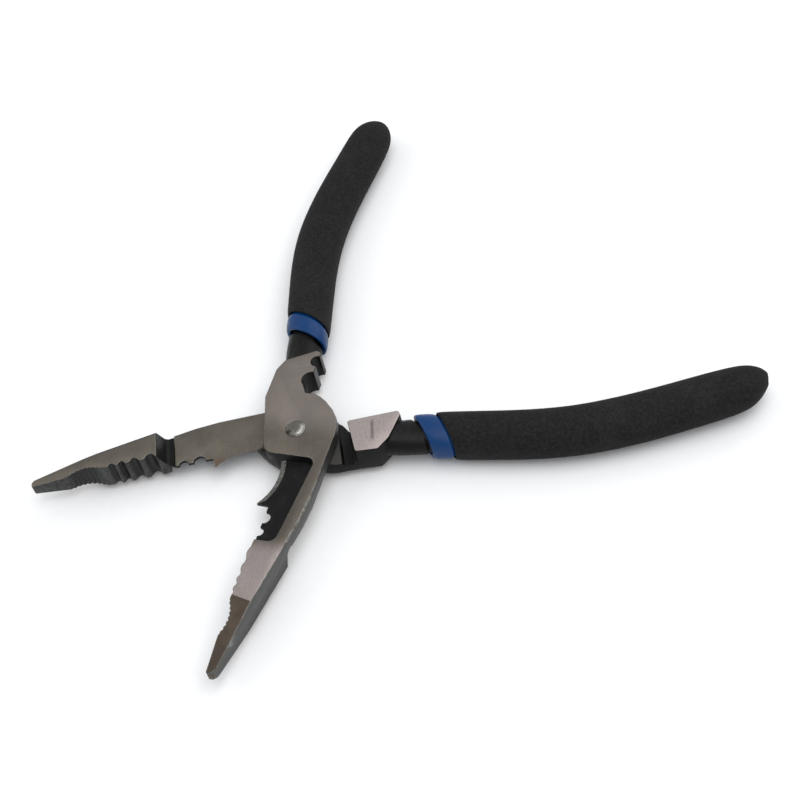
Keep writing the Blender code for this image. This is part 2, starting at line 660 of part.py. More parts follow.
def make_rivet(name):
    """A solid rivet, domed in front and ground flush behind."""
    dome = [
        (RIVET_DOME_RADIUS * math.cos(math.radians(a)), HALF + RIVET_DOME * math.sin(math.radians(a)))
        for a in (0, 30, 60)
    ]
    profile = [(0, -HALF), (RIVET_HEAD_RADIUS, -HALF), (RIVET_RADIUS, -HALF + RIVET_SINK)]
    profile += [(RIVET_RADIUS, HALF - RIVET_SINK), (RIVET_HEAD_RADIUS, HALF)]
    profile += dome + [(0, HALF + RIVET_DOME)]
    return turned(name, profile, RIVET_SIDES)


# ---------------------------------------------------------------- assembly
def pivot_frame(name, turn_over, angle):
    """An empty on the pivot that carries one lever's pieces."""
    frame = bpy.data.objects.new(name, None)
    frame.location = (0, 0, MID_HEIGHT * MM)
    frame.rotation_euler = (0, math.pi if turn_over else 0, math.radians(angle))
    bpy.context.scene.collection.objects.link(frame)
    return frame


def main():
    for obj in list(bpy.data.objects):
        bpy.data.objects.remove(obj)
    materials = (STEEL, RIVET_STEEL, BLUE_DIP, BLACK_FOAM)
    steel, rivet_steel, blue, black = [make_material(*material) for material in materials]
    front = pivot_frame("front_frame", False, OPEN_ANGLE / 2)
    rear = pivot_frame("rear_frame", True, -OPEN_ANGLE / 2)
    for side, frame in (("front", front), ("rear", rear)):
        finish(make_lever(f"{side}_lever", side == "rear"), frame, steel)
        finish(make_sleeve(f"{side}_sleeve"), frame, blue)
        finish(make_foam(f"{side}_grip"), frame, black)
    rivet = make_rivet("pivot_rivet")
    rivet.location = (0, 0, MID_HEIGHT * MM)
    finish(rivet, None, rivet_steel)


main()
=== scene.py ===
# %% [markdown]
# # Needle nose pliers
#
# These pliers are two forged levers on a rivet, with a dipped grip on each handle. The frame already
# holds every piece at its real size and place, so this lesson is about finish: what the faces look like
# once the smith, the grinder and the paint shop are done with them. Each step says what a piece is on the
# real tool and how it is made here.

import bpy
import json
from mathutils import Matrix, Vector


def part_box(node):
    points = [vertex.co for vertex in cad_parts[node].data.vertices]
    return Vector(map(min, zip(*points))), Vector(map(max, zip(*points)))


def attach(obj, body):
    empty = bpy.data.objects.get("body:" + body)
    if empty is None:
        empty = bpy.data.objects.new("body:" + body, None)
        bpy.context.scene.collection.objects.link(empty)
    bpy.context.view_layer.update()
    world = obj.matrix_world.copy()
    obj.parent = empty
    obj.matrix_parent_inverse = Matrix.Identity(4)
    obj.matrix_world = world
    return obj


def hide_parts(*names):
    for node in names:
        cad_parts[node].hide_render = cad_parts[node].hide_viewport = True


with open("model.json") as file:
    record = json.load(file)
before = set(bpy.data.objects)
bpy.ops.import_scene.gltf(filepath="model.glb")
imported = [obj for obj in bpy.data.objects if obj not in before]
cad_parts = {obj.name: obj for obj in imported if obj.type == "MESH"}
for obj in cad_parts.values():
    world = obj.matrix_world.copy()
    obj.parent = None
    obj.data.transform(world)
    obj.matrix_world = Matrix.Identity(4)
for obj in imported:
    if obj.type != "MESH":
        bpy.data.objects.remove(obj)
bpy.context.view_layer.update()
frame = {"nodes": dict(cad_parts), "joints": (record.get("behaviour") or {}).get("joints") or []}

import json
import math

import bmesh
import bpy
from mathutils import Euler, Matrix, Vector

MM = 0.001
HINGE = next(joint for joint in frame["joints"] if joint["name"] == "jaw_pivot")
PIVOT = Vector(HINGE["pos_m"])
HALF_OPEN = math.radians(-HINGE["range_deg"][0] / 2)
PLATE_TOP_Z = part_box("front_lever")[1].z
HALF_THICKNESS = PLATE_TOP_Z - PIVOT.z
print(f"pivot at {PIVOT.z / MM:.1f} mm, levers turned {math.degrees(HALF_OPEN):.1f} degrees each way")

# %% [markdown]
# ## Camera
#
# The tool is seen from its left, well above the table, by a moderately long lens, so that the far handle
# looks only a little smaller than the near nose. A lens and a turn describe that better than a target
# does, because the tool hangs at a slant in the view.

# %% Camera
LENS_MM = 69.2
CAMERA_PLACE = Vector((-250.6, 111.8, 331.5)) * MM
CAMERA_TURN = [math.radians(angle) for angle in (39.59, 9.0, -130.98)]


def add_camera():
    """The studio camera, set as the scene's own."""
    lens = bpy.data.cameras.new("studio_camera")
    lens.lens = LENS_MM
    lens.clip_start = 0.01
    camera = bpy.data.objects.new("studio_camera", lens)
    camera.location = CAMERA_PLACE
    camera.rotation_euler = Euler(CAMERA_TURN)
    bpy.context.scene.collection.objects.link(camera)
    bpy.context.scene.camera = camera
    return camera


camera = add_camera()
print(f"camera {camera.location.length:.2f} m from the pivot")

# %% [markdown]
# ## Shader arithmetic
#
# A finish is worked out by nodes, and nodes are easier to read as sums. Flow wraps a socket, so that
# `grain * 0.3 + 0.4` adds the two Math nodes. Finish holds one material and adds every other node by its
# one method.

# %% Shader arithmetic
class Flow:
    """A socket of one finish. Arithmetic on it adds Math nodes."""

    def __init__(self, finish, socket):
        self.finish = finish
        self.socket = socket

    def math(self, operation, *terms):
        """A Math node on the given terms."""
        return self.finish.node("ShaderNodeMath", {"operation": operation}, dict(enumerate(terms)))

    def size(self):
        return self.math("ABSOLUTE", self)

    def __add__(self, other):
        return self.math("ADD", self, other)

    def __sub__(self, other):
        return self.math("SUBTRACT", self, other)

    def __rsub__(self, other):
        return self.math("SUBTRACT", other, self)

    def __mul__(self, other):
        return self.math("MULTIPLY", self, other)

    __radd__ = __add__
    __rmul__ = __mul__


class Finish:
    """One material. Its surface settings are given at the end, by surface()."""

    def __init__(self, name):
        self.material = bpy.data.materials.new(name)
        self.material.use_nodes = True
        self.tree = self.material.node_tree
        self.shader = self.tree.nodes["Principled BSDF"]

    def node(self, kind, settings=None, values=None, out=0):
        """Adds a node, sets its settings, then fills its sockets with values or links them."""
        made = self.tree.nodes.new(kind)
        for key, value in (settings or {}).items():
            setattr(made, key, value)
        for key, value in (values or {}).items():
            self.fill(made.inputs[key], value)
        return Flow(self, made.outputs[out])

    def fill(self, socket, value):
        """Links a socket to a Flow, or sets it to a plain value."""
        if isinstance(value, Flow):
            self.tree.links.new(value.socket, socket)
        else:
            socket.default_value = value

    def place(self, side="", stretch=(1, 1, 1)):
        """Object coordinates about the pivot, in a lever's own frame if a side is named, then stretched."""
        turn, flip = {"front": (-HALF_OPEN, 1), "rear": (HALF_OPEN, -1)}.get(side, (0.0, 1))
        spot = self.node("ShaderNodeTexCoord", out="Object")
        centred = self.node("ShaderNodeVectorMath", {"operation": "SUBTRACT"}, {0: spot, 1: PIVOT})
        turned = self.node("ShaderNodeMapping", {}, {"Vector": centred, "Rotation": (0, 0, turn)})
        scale = (stretch[0] * flip, stretch[1], stretch[2] * flip)
        return self.node("ShaderNodeVectorMath", {"operation": "MULTIPLY"}, {0: turned, 1: scale})

    def part_of(self, vector, axis):
        """One number of a vector: its "X", "Y" or "Z"."""
        return self.node("ShaderNodeSeparateXYZ", {}, {0: vector}, out="XYZ".index(axis))

    def noise(self, vector, size_mm, detail=3.0, roughness=0.55):
        """Noise whose lumps are about size_mm across."""
        values = {"Vector": vector, "Scale": 1 / (size_mm * MM), "Detail": detail, "Roughness": roughness}
        return self.node("ShaderNodeTexNoise", {}, values)

    def ease(self, value, start, end):
        """0 before start, 1 after end, and a smooth rise between them."""
        settings = {"interpolation_type": "SMOOTHSTEP"}
        return self.node("ShaderNodeMapRange", settings, {"Value": value, "From Min": start, "From Max": end})

    def span(self, length, ends_mm):
        """0 at the first of two lengths in millimetres, and 1 at the second."""
        start, end = ends_mm
        return self.ease(length, start * MM, end * MM)

    def mix(self, factor, first, second):
        """A colour between two others."""
        values = {0: factor, 6: first, 7: second}
        return self.node("ShaderNodeMix", {"data_type": "RGBA"}, values, out=2)

    def near(self, spot, centre_mm, reach_mm):
        """1 within about reach_mm of a place and 0 well outside it."""
        centre = [value * MM for value in centre_mm]
        apart = self.node("ShaderNodeVectorMath", {"operation": "DISTANCE"}, {0: spot, 1: centre}, out=1)
        return self.ease(apart, reach_mm * 1.5 * MM, reach_mm * 0.5 * MM)

    def surface(self, settings, bumps=()):
        """Fills the shader's sockets. Each bump is a height and how deep it is, in millimetres."""
        normal = None
        for height, depth_mm in bumps:
            values = {"Height": height, "Distance": depth_mm * MM, "Strength": 1.0}
            if normal:
                values["Normal"] = normal
            normal = self.node("ShaderNodeBump", {}, values)
        if normal:
            self.fill(self.shader.inputs["Normal"], normal)
        for key, value in settings.items():
            self.fill(self.shader.inputs[key], value)
        print(f"finish {self.material.name}: {len(self.tree.nodes)} nodes")
        return self.material


def colour(red, green, blue):
    """A colour from the 0 to 255 values that a screen shows, made linear as the shader wants it."""
    shown = [value / 255 for value in (red, green, blue)]
    linear = [part / 12.92 if part <= 0.04045 else ((part + 0.055) / 1.055) ** 2.4 for part in shown]
    return (*linear, 1.0)


# %% [markdown]
# ## Studio
#
# A plain pale floor and large soft lamps. Ground steel mirrors whatever stands over it, so the lamps are
# broad, and the key lamp is the strongest of the three. That puts a slow gradient on each flat face and
# tells its planes apart.

# %% Studio
FLOOR_SIZE = 4.0
SKY_COLOUR = (0.95, 0.97, 1.0, 1.0)
SKY_STRENGTH = 0.62
# Each lamp's place, width and power.
LAMPS = {
    "key_lamp": ((-0.25, -0.1, 0.8), 0.9, 4.4),
    "fill_lamp": ((0.7, 0.5, 0.55), 0.8, 1.6),
    "back_lamp": ((0.25, -0.8, 0.5), 0.7, 1.6),
}


def add_floor():
    bpy.ops.mesh.primitive_plane_add(size=FLOOR_SIZE, location=(0, 0, 0))
    floor = bpy.context.object
    floor.name = "studio_floor"
    finish = Finish("studio_floor")
    speckle = finish.noise(finish.place(), 3.0)
    shade = finish.mix(speckle, colour(246, 246, 246), colour(250, 250, 250))
    floor.data.materials.append(finish.surface({"Base Color": shade, "Roughness": 0.9}))


def add_lamp(name, place, size, power):
    """A square soft lamp that faces the pivot's foot on the floor."""
    light = bpy.data.lights.new(name, "AREA")
    light.size = size
    light.energy = power
    lamp = bpy.data.objects.new(name, light)
    lamp.location = place
    lamp.rotation_euler = (-Vector(place)).to_track_quat("-Z", "Y").to_euler()
    bpy.context.scene.collection.objects.link(lamp)


def add_sky():
    """An even, faintly cool light from all round."""
    sky = bpy.data.worlds.new("studio_sky")
    sky.use_nodes = True
    background = sky.node_tree.nodes["Background"]
    background.inputs["Color"].default_value = SKY_COLOUR
    background.inputs["Strength"].default_value = SKY_STRENGTH
    bpy.context.scene.world = sky


add_floor()
for name, (place, size, power) in LAMPS.items():
    add_lamp(name, place, size, power)
add_sky()
bpy.context.scene.view_settings.view_transform = "Standard"
print(f"{len(LAMPS)} lamps over a {FLOOR_SIZE:.0f} m floor")

# %% [markdown]
# ## Ground steel
#
# The flat faces come off a grinding belt, and the belt leaves fine lines along its run. Noise that is
# stretched far along one direction makes such lines, both in the roughness and as a very shallow bump.
# Larger, slower noise mottles the colour, as the oil and the heat of grinding do. The nose, the anvil and,
# a little, the joint plate are painted paler, a painted reflection on the flat steel. A picture of brushed
# metal could be laid on instead, but noise has no seams, and its lines can follow each lever's own length.

# %% Ground steel
WARM_STEEL = colour(117, 110, 100)
OILED_STEEL = colour(104, 98, 89)
# Painted reflection: the pale steel colour stands for a reflection on the flat ground faces.
REFLECTION_STEEL = colour(174, 163, 160)
# Painted shade: the shaded steel colour darkens the sliver by the slot.
SHADED_STEEL = colour(60, 58, 56)
# Painted shadow: this black darkens the corner of the plate.
SHADOW_BLACK = colour(17, 17, 17)
BROWNED_STEEL = colour(112, 92, 76)
DARK_STEEL = colour(70, 64, 58)
LINES_ALONG_NOSE = (14, 1, 1)
LINES_ACROSS_NOSE = (1.5, 14, 1)
GROUND_METALLIC = 0.85

# Places and lengths below are millimetres in a lever's own frame.
# Spans of painted reflection on the nose, the joint plate and the anvil.
NOSE_REFLECTION_Y = (34.5, 41.0)
RAIL_DULL_Y = (8.0, 16.0)
PLATE_REFLECTION_Y = (4.0, -6.0)
ANVIL_REFLECTION_Y = (-13.0, -14.0)
# Span of painted shade on the sliver by the slot.
SLIVER_SHADE_Y = (-4.0, -8.0)
UPPER_Z = (2.0, 1.0)
SCRIBE_Y = -21.2
SCRIBE_SLOPE = 0.094
SCRIBE_WIDTH = (0.75, 0.1)
SCRIBE_WAVER = 0.4
SCRIBE_START_X = (1.8, 3.4)
SCRIBE_END_X = (9.8, 8.2)
BEAK = (3.6, 23.5, 0.2)
BEAK_REACH = 2.6
# Where the painted shadow at the corner of the plate lies.
CORNER_SHADOW = (2.4, 10.6, 0.2)
CORNER_SHADOW_REACH = 1.3


def belt_steel(finish, side, reflection, run):
    """Colour, roughness and bump of belt-ground steel. The third argument, 0 to 1, is the share of painted
    reflection, and run stretches the belt's lines.
    """
    spot = finish.place(side)
    mottle = finish.noise(spot, 6.0, detail=4.0)
    speckle = finish.noise(spot, 0.5, detail=3.0)
    lines = finish.noise(finish.place(side, run), 4.0, detail=5.0, roughness=0.7)
    base = finish.mix(finish.ease(mottle, 0.25, 0.75), OILED_STEEL, WARM_STEEL)
    # Painted reflection: paler steel where the third argument asks for it.
    base = finish.mix(reflection, base, REFLECTION_STEEL)
    base = finish.mix((lines - 0.5) * 0.7 + (speckle - 0.5) * 0.4 + 0.12, base, DARK_STEEL)
    rough = lines * 0.2 + mottle * 0.15 + 0.3
    return base, rough, [(lines, 0.008), (speckle, 0.003)]


def front_ground_steel():
    """The front lever's one long face: a duller rail, and a painted reflection that lights the nose and, a
    little, the joint plate.
    """
    finish = Finish("ground_steel_front")
    along = finish.part_of(finish.place("front"), "Y")
    # Painted reflection: the nose is coloured paler.
    reflection = finish.span(along, NOSE_REFLECTION_Y)
    base, rough, bumps = belt_steel(finish, "front", reflection * 0.86, LINES_ALONG_NOSE)
    rail = finish.span(along, RAIL_DULL_Y)
    base = finish.mix((1 - reflection) * rail * 0.3, base, DARK_STEEL)
    # Painted reflection: the joint plate is lifted a little towards the pale colour.
    plate = finish.span(along, PLATE_REFLECTION_Y)
    base = finish.mix(plate * 0.25, base, REFLECTION_STEEL)
    settings = {"Base Color": base, "Metallic": GROUND_METALLIC, "Roughness": rough}
    return finish.surface(settings, bumps)


def rear_ground_steel():
    """The rear lever shows three ground faces: the rail, a sliver by the slot in painted shade and the anvil
    in a painted reflection.
    """
    finish = Finish("ground_steel_rear")
    spot = finish.place("rear")
    along = finish.part_of(spot, "Y")
    across = finish.part_of(spot, "X")
    upper = finish.span(finish.part_of(spot, "Z"), UPPER_Z)
    # Painted reflection: the anvil is coloured paler, on its upper face only.
    reflection = finish.span(along, ANVIL_REFLECTION_Y) * upper
    # Painted shade: the sliver by the slot is darkened, on the upper face only.
    shaded = finish.span(along, SLIVER_SHADE_Y) * upper - reflection
    base, rough, bumps = belt_steel(finish, "rear", reflection, LINES_ACROSS_NOSE)
    base = finish.mix(shaded, base, SHADED_STEEL)
    waver = finish.noise(spot, 1.5) * SCRIBE_WAVER * MM
    offset = along - across * SCRIBE_SLOPE - SCRIBE_Y * MM + waver
    scribe = finish.span(offset.size(), SCRIBE_WIDTH)
    scribe = scribe * finish.span(across, SCRIBE_START_X) * finish.span(across, SCRIBE_END_X)
    base = finish.mix(scribe * upper * 0.55, base, DARK_STEEL)
    base = finish.mix(finish.near(spot, BEAK, BEAK_REACH) * 0.55, base, BROWNED_STEEL)
    # Painted shadow: black on the shear face at the corner of the plate.
    base = finish.mix(finish.near(spot, CORNER_SHADOW, CORNER_SHADOW_REACH), base, SHADOW_BLACK)
    settings = {"Base Color": base, "Metallic": GROUND_METALLIC, "Roughness": rough}
    return finish.surface(settings, bumps)


# %% [markdown]
# ## Forged and oiled steel
#
# The sides of the levers keep the dark, even grey of the forging, darkened towards the hidden face as painted
# shade, with a painted highlight and one painted glint towards the tip. The slanted faces towards the tips
# are a browner steel. Corners are lighter, partly as wear and partly as a painted highlight on their edges.
# Masks could be painted by hand for all this, but a place and a distance on the lever do the same and stay
# sharp at any size.

# %% Forged and oiled steel
# Painted shade towards the lower face, and a painted highlight and glint near the tip, are placed here.
SIDE_SHADE_Z = (1.5, -4.0)
TIP_HIGHLIGHT_Y = (52.0, 72.0)
TIP_HIGHLIGHT_Z = (0.2, 1.2)
TIP_GLINT_SPOT = (-4.2, 66.0, 2.4)
TIP_GLINT_REACH = 1.6


def side_steel(side):
    """Grey forged sides, with painted shade towards the lower face, a painted highlight on the upper tip and
    one painted glint.
    """
    finish = Finish(f"side_steel_{side}")
    spot = finish.place(side)
    mottle = finish.noise(spot, 4.0, detail=4.0)
    grain = finish.noise(finish.place(side, (1, 1, 6)), 1.2, detail=4.0)
    height = finish.part_of(spot, "Z")
    tip = finish.span(finish.part_of(spot, "Y"), TIP_HIGHLIGHT_Y)
    base = finish.mix(mottle, colour(72, 72, 71), colour(88, 88, 87))
    # Painted shade: darker towards the lower face.
    base = finish.mix(finish.span(height, SIDE_SHADE_Z) * 0.95, base, colour(42, 42, 42))
    # Painted highlight: paler on the upper part of the tip.
    base = finish.mix(tip * finish.span(height, TIP_HIGHLIGHT_Z) * 0.4, base, colour(98, 98, 90))
    # Painted highlight: one bright glint near the tip, broken up by the grain.
    tip_glint = finish.near(spot, TIP_GLINT_SPOT, TIP_GLINT_REACH) * finish.ease(grain, 0.45, 0.6)
    base = finish.mix(tip_glint * 0.65, base, colour(170, 170, 164))
    rough = grain * 0.25 + 0.32
    return finish.surface({"Base Color": base, "Metallic": 0.75, "Roughness": rough}, [(grain, 0.012)])


def browned_steel():
    """The slanted face of the front tip, in a browner steel."""
    finish = Finish("browned_steel")
    spot = finish.place("front")
    mottle = finish.noise(spot, 5.0, detail=4.0)
    lines = finish.noise(finish.place("front", (10, 1, 1)), 4.0, detail=4.0)
    base = finish.mix(finish.ease(mottle, 0.3, 0.7), colour(76, 67, 58), colour(90, 79, 69))
    base = finish.mix((lines - 0.4) * 0.5, base, DARK_STEEL)
    rough = lines * 0.2 + 0.34
    return finish.surface({"Base Color": base, "Metallic": 0.8, "Roughness": rough}, [(lines, 0.008)])


def wear_and_highlight_steel():
    """Bare metal on corners, lighter partly from wear and partly as a painted highlight on the edges."""
    finish = Finish("wear_and_highlight_steel")
    grain = finish.noise(finish.place(), 1.0)
    # Wear and painted highlight: the edges are coloured a lighter steel.
    base = finish.mix(finish.ease(grain, 0.3, 0.75), colour(90, 88, 84), colour(140, 138, 132))
    return finish.surface({"Base Color": base, "Metallic": 0.9, "Roughness": grain * 0.2 + 0.28})

# %% [markdown]
# ## Black paint
#
# The recesses, the shoulders and the shanks are sprayed black over the rough forging. Paint rounds the
# grain of the metal under it, so the bump is soft, and the gloss is low. Knocks leave small grey scuffs.
# The gripping faces are blackened too, and their crests are painted grey as a painted highlight, so that
# finish reads how far a point lies below the gripping face.

# %% Black paint
# The painted highlight on the crests fades in over this depth below the gripping face.
CREST_HIGHLIGHT_X = (-0.9, 0.0)


def black_paint():
    """Sprayed paint with dust in it and a few scuffs."""
    finish = Finish("black_paint")
    spot = finish.place()
    skin = finish.noise(spot, 1.4, detail=4.0)
    forging = finish.noise(spot, 5.0, detail=2.0)
    dust = finish.ease(finish.noise(spot, 2.5, detail=6.0), 0.5, 0.85)
    scuffs = finish.ease(finish.noise(spot, 1.1, detail=5.0, roughness=0.7), 0.66, 0.72)
    base = finish.mix(dust * 0.6, colour(13, 13, 13), colour(38, 37, 35))
    base = finish.mix(scuffs * 0.5, base, colour(92, 90, 86))
    settings = {"Base Color": base, "Specular IOR Level": 0.16, "Roughness": skin * 0.25 + 0.27}
    return finish.surface(settings, [(forging, 0.1), (skin, 0.025)])


def toothed_steel(side):
    """The blackened gripping face, with a painted grey highlight on the crests of its waves and teeth."""
    finish = Finish(f"toothed_steel_{side}")
    spot = finish.place(side)
    skin = finish.noise(spot, 1.0, detail=4.0)
    crest_highlight = finish.span(finish.part_of(spot, "X"), CREST_HIGHLIGHT_X)
    base = finish.mix(skin, colour(14, 14, 14), colour(28, 28, 28))
    # Painted highlight: grey on the crests, broken up by the skin noise.
    base = finish.mix(crest_highlight * finish.ease(skin, 0.3, 0.6) * 0.45, base, colour(84, 84, 82))
    settings = {"Base Color": base, "Metallic": 0.4, "Roughness": skin * 0.2 + 0.34}
    return finish.surface(settings, [(skin, 0.02)])


# %% [markdown]
# ## Levers
#
# Each lever is one forging, so it stays one mesh with a finish on each group of faces. The frame's mesh
# is exact but has knife-sharp edges, which no real steel has. A copy of it is merged and its triangles
# are dissolved into the true faces. A few long edges are bevelled widely by hand, as the smith's file
# leaves them, and then a narrow Bevel breaks every other edge. The finishes go on by where a face lies
# and which way it looks, read in the lever's own frame: nose to +Y, gripping face on X = 0, Z = 0 where
# the levers meet.

# %% Lever tools
EDGE_BREAK = 0.16 * MM
EDGE_BREAK_ANGLE = math.radians(32)
SMOOTH_ANGLE = math.radians(28)
SHARP_ANGLE = math.radians(30)
MERGE_REACH = 0.03 * MM

# Where the long edges lie, in millimetres in a lever's own frame.
RAIL_Y = (3.0, 37.0)
RAIL_OUTER_X = -9.0
NOSE_LOWER_Y = (35.0, 56.0)
NOSE_OUTER_X = -5.5
UPPER_EDGE_Z = 4.0
LOWER_EDGE_Z = -3.9
SHOULDER_Y = (-16.0, -14.0)
UPRIGHT_DRIFT = 0.3
UPRIGHT_HEIGHT = 1.5
FOOT_Y = (-27.0, -9.0)
FOOT_INNER_X = 6.0


def between(value, ends):
    return ends[0] < value < ends[1]


def select_only(piece):
    """Leaves one piece selected and active."""
    bpy.ops.object.select_all(action="DESELECT")
    piece.select_set(True)
    bpy.context.view_layer.objects.active = piece


def copy_of(node, name):
    """A copy of a frame piece with its loose triangles merged."""
    piece = frame["nodes"][node].copy()
    piece.data = piece.data.copy()
    piece.name = piece.data.name = name
    piece.parent = None
    for key in list(piece.keys()):
        del piece[key]
    bpy.context.scene.collection.objects.link(piece)
    piece.data.materials.clear()
    select_only(piece)
    bpy.ops.object.mode_set(mode="EDIT")
    bpy.ops.mesh.select_all(action="SELECT")
    bpy.ops.mesh.remove_doubles(threshold=MERGE_REACH)
    bpy.ops.object.mode_set(mode="OBJECT")
    return piece


def lever_frame(side):
    """The turn from the world to a lever's own frame, in millimetres."""
    scale = Matrix.Scale(1 / MM, 4)
    if side == "front":
        return scale @ Matrix.Rotation(-HALF_OPEN, 4, "Z") @ Matrix.Translation(-PIVOT)
    turn_over = Matrix.Rotation(math.pi, 4, "Y")
    return scale @ turn_over @ Matrix.Rotation(HALF_OPEN, 4, "Z") @ Matrix.Translation(-PIVOT)


def bevel_where(piece, to_lever, chosen, width_mm, segments=2):
    """Bevels the sharp edges whose two ends, in the lever's frame, are both chosen."""
    bpy.ops.object.mode_set(mode="EDIT")
    bpy.ops.mesh.select_mode(type="EDGE")
    bpy.ops.mesh.select_all(action="DESELECT")
    mesh = bmesh.from_edit_mesh(piece.data)
    count = 0
    for edge in mesh.edges:
        sharp = len(edge.link_faces) == 2 and edge.calc_face_angle() > SHARP_ANGLE
        if sharp and chosen(*[to_lever @ vertex.co for vertex in edge.verts]):
            edge.select_set(True)
            count += 1
    bmesh.update_edit_mesh(piece.data)
    if count:
        bpy.ops.mesh.bevel(offset=width_mm * MM, segments=segments, affect="EDGES", clamp_overlap=True)
    bpy.ops.object.mode_set(mode="OBJECT")
    print(f"{piece.name}: {count} edges bevelled {width_mm} mm wide")


def on_outer_ridge(a, b):
    """Upper outer edge of the rail, from the joint to the nose."""
    ends = (a, b)
    return all(end.z > UPPER_EDGE_Z and between(end.y, RAIL_Y) and end.x < RAIL_OUTER_X for end in ends)


def on_lower_ridge(a, b):
    """Lower outer edge of the nose, from its root to the waist."""
    ends = (a, b)
    return all(end.z < LOWER_EDGE_Z and between(end.y, NOSE_LOWER_Y) and end.x < NOSE_OUTER_X for end in ends)


def on_anvil_corner(a, b):
    """The upright edges at the two ends of the rear tab's shoulder."""
    upright = max(abs(a.x - b.x), abs(a.y - b.y)) < UPRIGHT_DRIFT and abs(a.z - b.z) > UPRIGHT_HEIGHT
    return upright and between(a.y, SHOULDER_Y) and min(a.z, b.z) < -UPPER_EDGE_Z


def on_tab_foot(a, b):
    """The lower outer edge of the rear tab, where it runs into the neck."""
    ends = (a, b)
    return all(end.z > UPPER_EDGE_Z and between(end.y, FOOT_Y) and end.x > FOOT_INNER_X for end in ends)


def break_edges(piece):
    """A narrow bevel on every sharp edge that is left."""
    bevel = piece.modifiers.new("edges", "BEVEL")
    bevel.width = EDGE_BREAK
    bevel.segments = 2
    bevel.limit_method = "ANGLE"
    bevel.angle_limit = EDGE_BREAK_ANGLE
    bevel.use_clamp_overlap = False
    select_only(piece)
    bpy.ops.object.modifier_apply(modifier="edges")
    bpy.ops.object.shade_smooth_by_angle(angle=SMOOTH_ANGLE)


# %% [markdown]
# ## A finish for every face
#
# On the real lever each face was ground, filed, blackened or painted by itself, so the finish follows the
# face. A face is known by its middle and by the way it looks. The rules are tried in turn, the narrowest
# first, and what no rule takes is painted black.

# %% Faces
NARROW = 0.3 * MM
# How far a normal has to turn towards an axis, from 0 to 1.
FLAT = 0.95
UPRIGHT = 0.8
TIP_FACING = 0.7
LEANING = 0.3
BLADE_LEAN = (0.2, 0.9)
# Where the faces lie, in millimetres in a lever's own frame.
FACE_DEPTH = 0.25
SHEAR_FACE_Z = (0.0, 0.4)
FACET_START_Y = 55.2
TIP_END_Y = 74.0
TIP_SIDES_Y = 70.0
TAB_END_Y = -29.5
SHEAR_FACE_END_Y = -14.2
TEETH_START_Y = 36.5
TEETH_DEPTH_X = -3.2
BLADE_Y = (8.0, 24.0)
BLADE_TOP_Z = 1.3
BLADE_X = -1.0
NESTS_Y = (-29.0, -14.0)
NESTS_X = 1.6
OUTER_SIDE_Y = -3.0
OUTER_SIDE_X = -1.0
# Where the lighter edge finish, partly wear and partly a painted highlight, begins on each lever.
WEAR_AND_HIGHLIGHT_START_Y = {"front": -13.0, "rear": 14.0}


def finish_of(side, centre, normal):
    """The name of a lever face's finish, from its middle and its normal in the lever's frame."""
    flat = abs(normal.z) > FLAT
    outside = abs(abs(centre.z) - HALF_THICKNESS / MM) < FACE_DEPTH
    tip_end = normal.y > TIP_FACING and centre.y > TIP_END_Y
    shear_face = flat and normal.z < 0 and between(centre.z, SHEAR_FACE_Z)
    on_blade = centre.z < BLADE_TOP_Z and between(centre.y, BLADE_Y) and centre.x > BLADE_X
    on_nests = side == "front" and centre.x < NESTS_X and between(centre.y, NESTS_Y)
    on_rail = between(centre.y, RAIL_Y) and centre.x < RAIL_OUTER_X
    outer_side = centre.y > OUTER_SIDE_Y and normal.x < -LEANING and centre.x < OUTER_SIDE_X
    if (flat and centre.y > FACET_START_Y) or tip_end:
        return "browned"
    if (flat and outside and centre.y > TAB_END_Y) or (shear_face and centre.y > SHEAR_FACE_END_Y):
        return "ground"
    if centre.y > TEETH_START_Y and normal.x > LEANING and centre.x > TEETH_DEPTH_X:
        return "toothed"
    # Blade slants and the rail's outer bevel take the lighter edge finish, partly a painted highlight.
    if on_blade and between(normal.z, BLADE_LEAN):
        return "wear_and_highlight"
    if on_nests and normal.x < -UPRIGHT:
        return "side"
    if on_rail and between(normal.z, (LEANING, FLAT)):
        return "wear_and_highlight"
    if outer_side or centre.y > TIP_SIDES_Y:
        return "side"
    return "black"


def is_narrow(face):
    """True of the strips that the narrow bevel leaves."""
    return face.calc_area() < NARROW * max(edge.calc_length() for edge in face.edges)


def dress_lever(piece, side, finishes):
    """Gives every face its finish. Narrow faces round the ground ones, ahead of the tab, take the lighter
    edge finish, partly wear and partly a painted highlight.
    """
    names = list(finishes)
    for material in finishes.values():
        piece.data.materials.append(material)
    to_lever = lever_frame(side)
    turn = to_lever.to_3x3().normalized()
    mesh = bmesh.new()
    mesh.from_mesh(piece.data)
    centres = {face: to_lever @ face.calc_center_median() for face in mesh.faces}
    for face, centre in centres.items():
        face.material_index = names.index(finish_of(side, centre, turn @ face.normal))
    ground = {names.index("ground"), names.index("browned")}
    for face, centre in centres.items():
        beside = {other.material_index for edge in face.edges for other in edge.link_faces}
        # Narrow strips ahead of the tab take the lighter edge finish, wear and a painted edge highlight.
        wear_and_highlight_zone = centre.y > WEAR_AND_HIGHLIGHT_START_Y[side]
        if is_narrow(face) and face.material_index not in ground and beside & ground and wear_and_highlight_zone:
            face.material_index = names.index("wear_and_highlight")
    mesh.to_mesh(piece.data)
    mesh.free()


# %% [markdown]
# ## The two forgings
#
# The two levers come from one die, so one recipe makes both, and what differs is asked for by side. Only
# the front nose has its crease ground on a slant, and only the rear tab is a plain anvil with filed
# corners. The levers could be modelled again from a block, but a copy keeps every tooth and notch where
# the frame has it.

